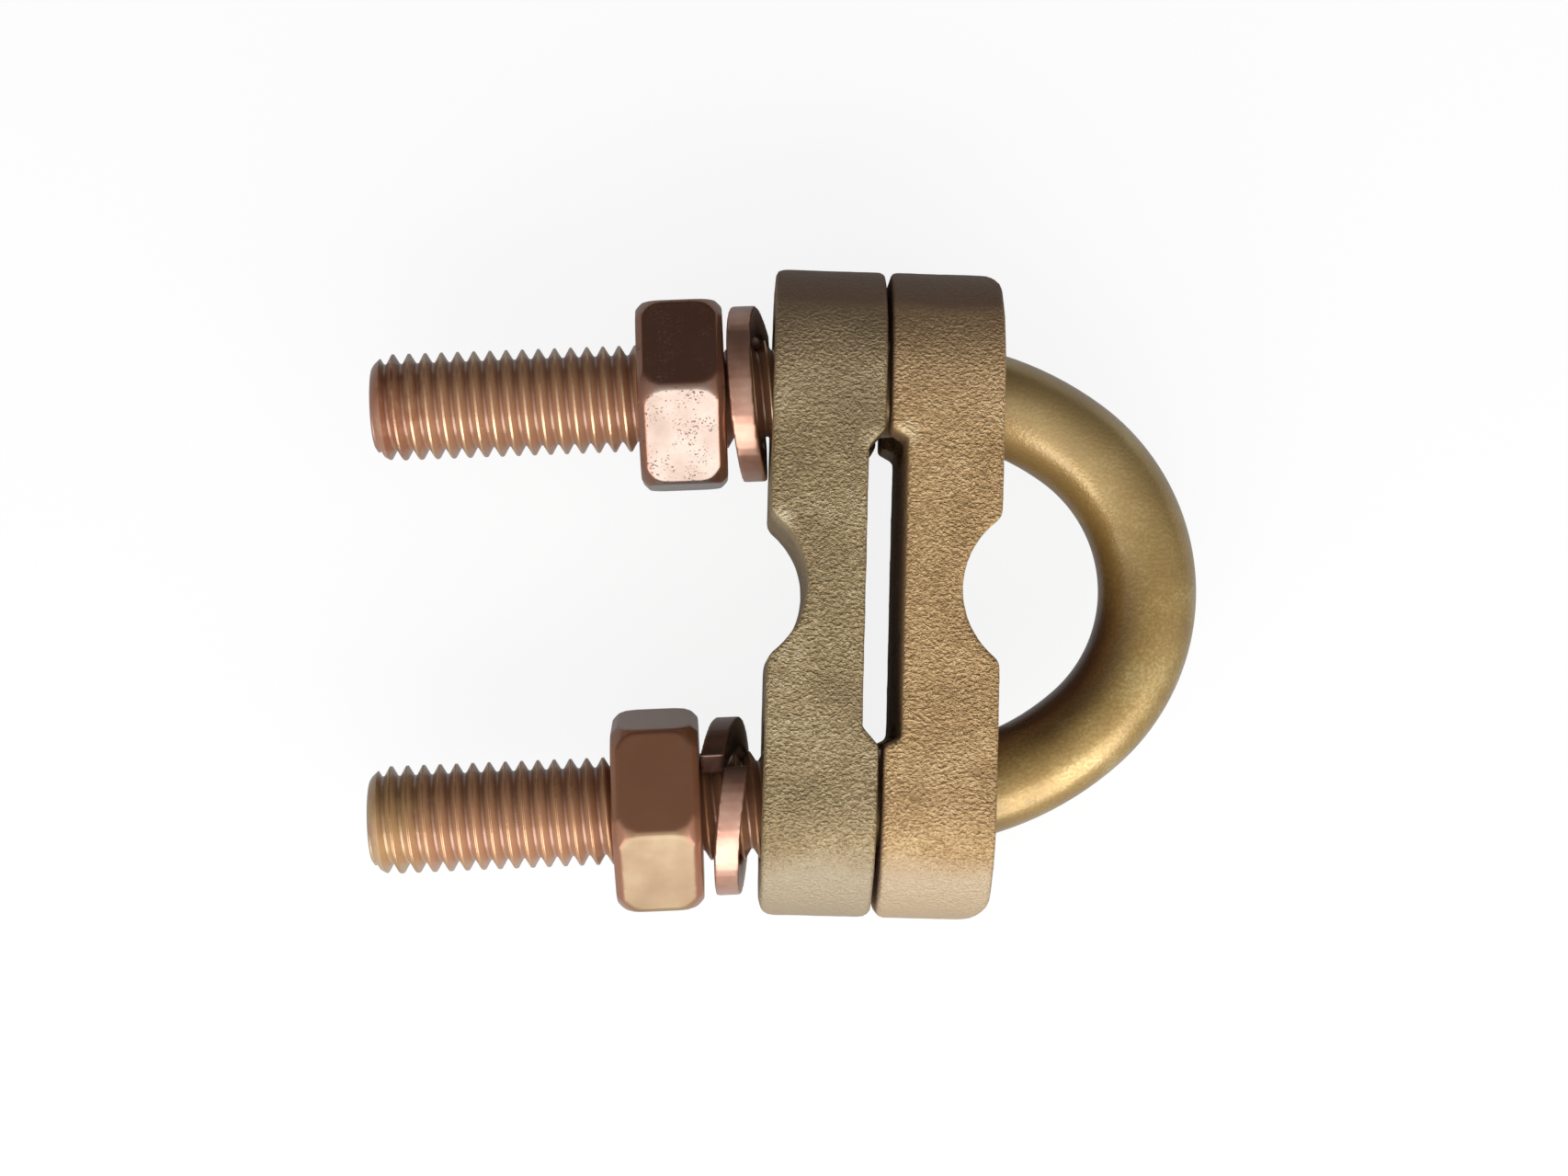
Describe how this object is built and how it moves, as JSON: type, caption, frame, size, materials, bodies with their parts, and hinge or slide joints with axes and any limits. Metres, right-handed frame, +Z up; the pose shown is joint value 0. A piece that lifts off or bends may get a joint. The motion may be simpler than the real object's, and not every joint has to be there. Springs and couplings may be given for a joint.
{
  "type": "u-bolt ground clamp",
  "caption": "Cast bronze clamp plates on a threaded U-bolt with hexagon nuts and spring washers, gripping an earth rod in its bow and a conductor in the slot between the plates.",
  "frame": {"origin": "middle of the conductor slot between the two plates, at the level of the plates' lower faces", "axes": "+X along the U-bolt's legs towards its bow, +Y towards the shorter, left leg, +Z up along the earth rod"},
  "size_m": [0.0772, 0.061, 0.022],
  "materials": {
    "rolled_bronze": "satin golden bronze rod with a coppery rolled thread",
    "warm_cast_bronze": "grainy shot-blasted casting",
    "cast_bronze": "grainy shot-blasted casting, slightly dulled",
    "washer_bronze": "pinkish drawn copper alloy",
    "nut_bronze": "satin coppery bronze with small pits"
  },
  "bodies": {
    "u_bolt": {"u_bolt": "rolled_bronze"},
    "bow_side_plate": {"bow_side_plate": "warm_cast_bronze"},
    "nut_side_plate": {"nut_side_plate": "cast_bronze"},
    "left_spring_washer": {"left_spring_washer": "washer_bronze"},
    "right_spring_washer": {"right_spring_washer": "washer_bronze"},
    "left_nut": {"left_nut": "nut_bronze"},
    "right_nut": {"right_nut": "nut_bronze"}
  },
  "joints": [
    {"name": "bow_side_plate_slide", "type": "slide", "parent": "u_bolt", "child": "bow_side_plate", "axis": [-1, 0, 0], "range_m": [0, 0.0075]},
    {"name": "nut_side_plate_slide", "type": "slide", "parent": "bow_side_plate", "child": "nut_side_plate", "axis": [-1, 0, 0], "range_m": [0, 0.006]},
    {"name": "left_washer_slide", "type": "slide", "parent": "nut_side_plate", "child": "left_spring_washer", "axis": [-1, 0, 0], "range_m": [0, 0.0076]},
    {"name": "left_nut_turn", "type": "hinge", "parent": "left_spring_washer", "child": "left_nut", "pos_m": [-0.0176, 0.0191, 0.011], "axis": [-1, 0, 0], "range_deg": [0, 1800]},
    {"name": "right_washer_slide", "type": "slide", "parent": "nut_side_plate", "child": "right_spring_washer", "axis": [-1, 0, 0], "range_m": [0, 0.0076]},
    {"name": "right_nut_turn", "type": "hinge", "parent": "right_spring_washer", "child": "right_nut", "pos_m": [-0.0216, -0.0191, 0.011], "axis": [-1, 0, 0], "range_deg": [0, 1800]}
  ],
  "couplings": [
    {"joint": "left_washer_slide", "follows": "left_nut_turn", "m_per_rad": 0.00023873},
    {"joint": "right_washer_slide", "follows": "right_nut_turn", "m_per_rad": 0.00023873}
  ]
}
